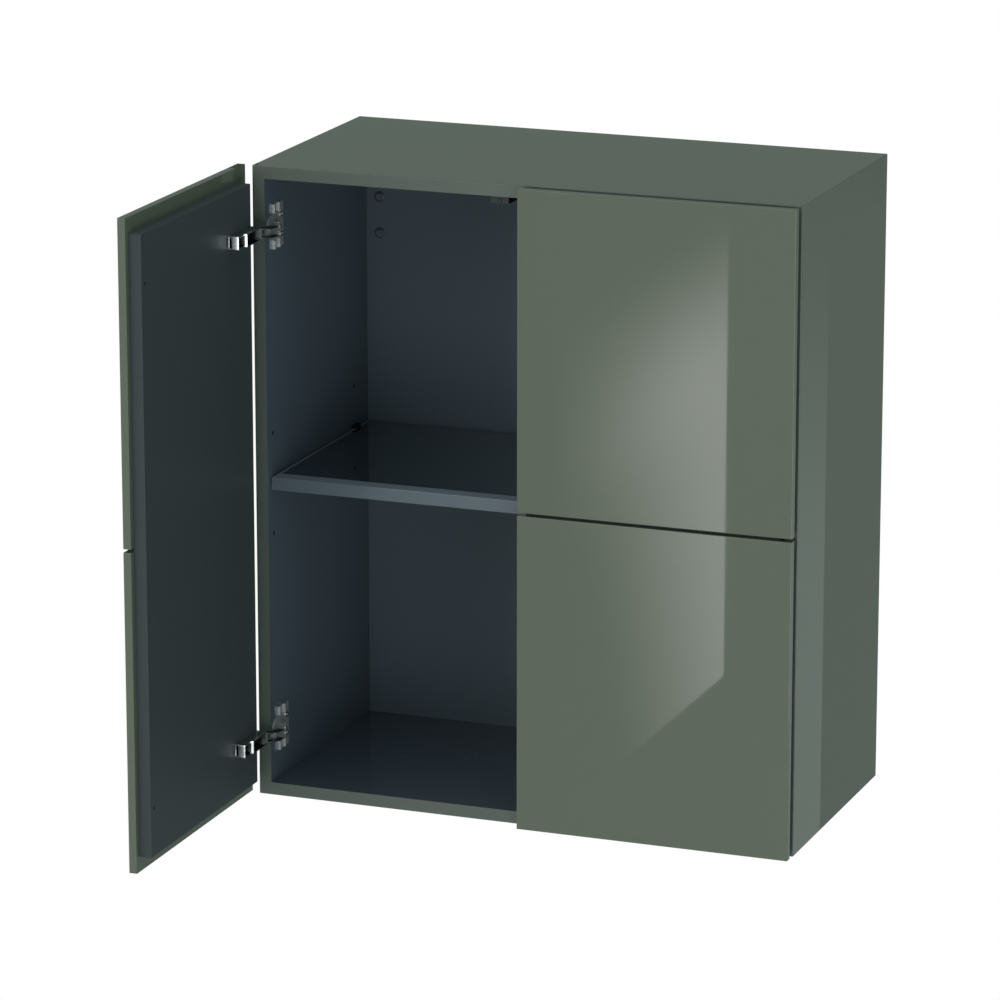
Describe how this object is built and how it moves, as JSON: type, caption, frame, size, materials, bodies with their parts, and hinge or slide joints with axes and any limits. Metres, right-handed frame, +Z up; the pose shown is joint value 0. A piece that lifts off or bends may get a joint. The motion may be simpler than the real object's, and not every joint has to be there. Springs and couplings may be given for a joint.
{
  "type": "wall-hung bathroom cabinet",
  "caption": "Wall-hung bathroom cabinet: gloss grey-green fronts on dark inner panels, concealed hinges, push latches and a shelf with a glossy inlay.",
  "frame": {"origin": "centre of the wall face, on the rear face of the back board", "axes": "+X to the right seen from the front, +Y towards the wall, +Z up; the fronts face -Y"},
  "size_m": [0.722, 0.6835, 0.8],
  "materials": {
    "carcass_lacquer": "gloss lacquer, dark inside",
    "front_lacquer": "high-gloss lacquer",
    "interior_graphite": "satin laminate",
    "door_graphite": "matt laminate",
    "shelf_slate": "satin lacquer",
    "shelf_glass": "polished",
    "cap_plastic": "moulded",
    "pin_steel": "plated",
    "hinge_nickel": "nickel plated",
    "hinge_cast": "die-cast zinc, plated",
    "dark_steel": "black zinc plated",
    "stop_plastic": "moulded",
    "screw_steel": "zinc plated",
    "latch_plastic": "moulded",
    "plunger_plastic": "moulded",
    "spring_steel": "drawn wire"
  },
  "bodies": {
    "carcass": {"side_left": "carcass_lacquer", "side_right": "carcass_lacquer", "top_board": "carcass_lacquer", "bottom_board": "carcass_lacquer", "back_board": "interior_graphite", "cover_caps": "cap_plastic", "shelf_board": "shelf_slate", "shelf_inlay": "shelf_glass", "shelf_pins": "pin_steel", "shelf_stops": "stop_plastic", "hinge_plates_left": "hinge_cast", "hinge_plates_right": "hinge_cast", "hinge_arms_left": "hinge_cast", "hinge_arms_right": "hinge_cast", "hinge_plate_screws": "screw_steel", "hinge_arm_screws": "screw_steel", "latch_screws": "screw_steel", "latch_housing_left": "latch_plastic", "latch_housing_right": "latch_plastic", "latch_spring_left": "spring_steel", "latch_spring_right": "spring_steel"},
    "door_left": {"door_left_front_upper": "front_lacquer", "door_left_front_lower": "front_lacquer", "door_left_inner_panel": "door_graphite", "door_left_hinge_links": "hinge_nickel", "door_left_link_screws": "dark_steel"},
    "door_right": {"door_right_front_upper": "front_lacquer", "door_right_front_lower": "front_lacquer", "door_right_inner_panel": "door_graphite", "door_right_hinge_links": "hinge_nickel", "door_right_link_screws": "dark_steel"},
    "elbow_left": {"hinge_elbows_left": "hinge_cast"},
    "elbow_right": {"hinge_elbows_right": "hinge_cast"},
    "plunger_left": {"latch_plunger_left": "plunger_plastic"},
    "plunger_right": {"latch_plunger_right": "plunger_plastic"}
  },
  "joints": [
    {"name": "door_left_swing", "type": "hinge", "parent": "carcass", "child": "door_left", "pos_m": [-0.347, -0.338, 0], "axis": [0, 0, -1], "range_deg": [-90, 20]},
    {"name": "door_right_swing", "type": "hinge", "parent": "carcass", "child": "door_right", "pos_m": [0.347, -0.338, 0], "axis": [0, 0, 1], "range_deg": [0, 110]},
    {"name": "elbow_left_swing", "type": "hinge", "parent": "carcass", "child": "elbow_left", "pos_m": [-0.347, -0.338, 0], "axis": [0, 0, -1], "range_deg": [-45, 10]},
    {"name": "elbow_right_swing", "type": "hinge", "parent": "carcass", "child": "elbow_right", "pos_m": [0.347, -0.338, 0], "axis": [0, 0, 1], "range_deg": [0, 55]},
    {"name": "latch_left_press", "type": "slide", "parent": "carcass", "child": "plunger_left", "axis": [0, 1, 0], "range_m": [0, 0.003], "stiffness_N_per_m": 300, "springref_m": -0.004, "deforming": ["latch_spring_left"]},
    {"name": "latch_right_press", "type": "slide", "parent": "carcass", "child": "plunger_right", "axis": [0, 1, 0], "range_m": [0, 0.003], "stiffness_N_per_m": 300, "springref_m": -0.004, "deforming": ["latch_spring_right"]}
  ],
  "couplings": [
    {"joint": "elbow_left_swing", "follows": "door_left_swing", "ratio": 0.5},
    {"joint": "elbow_right_swing", "follows": "door_right_swing", "ratio": 0.5}
  ]
}
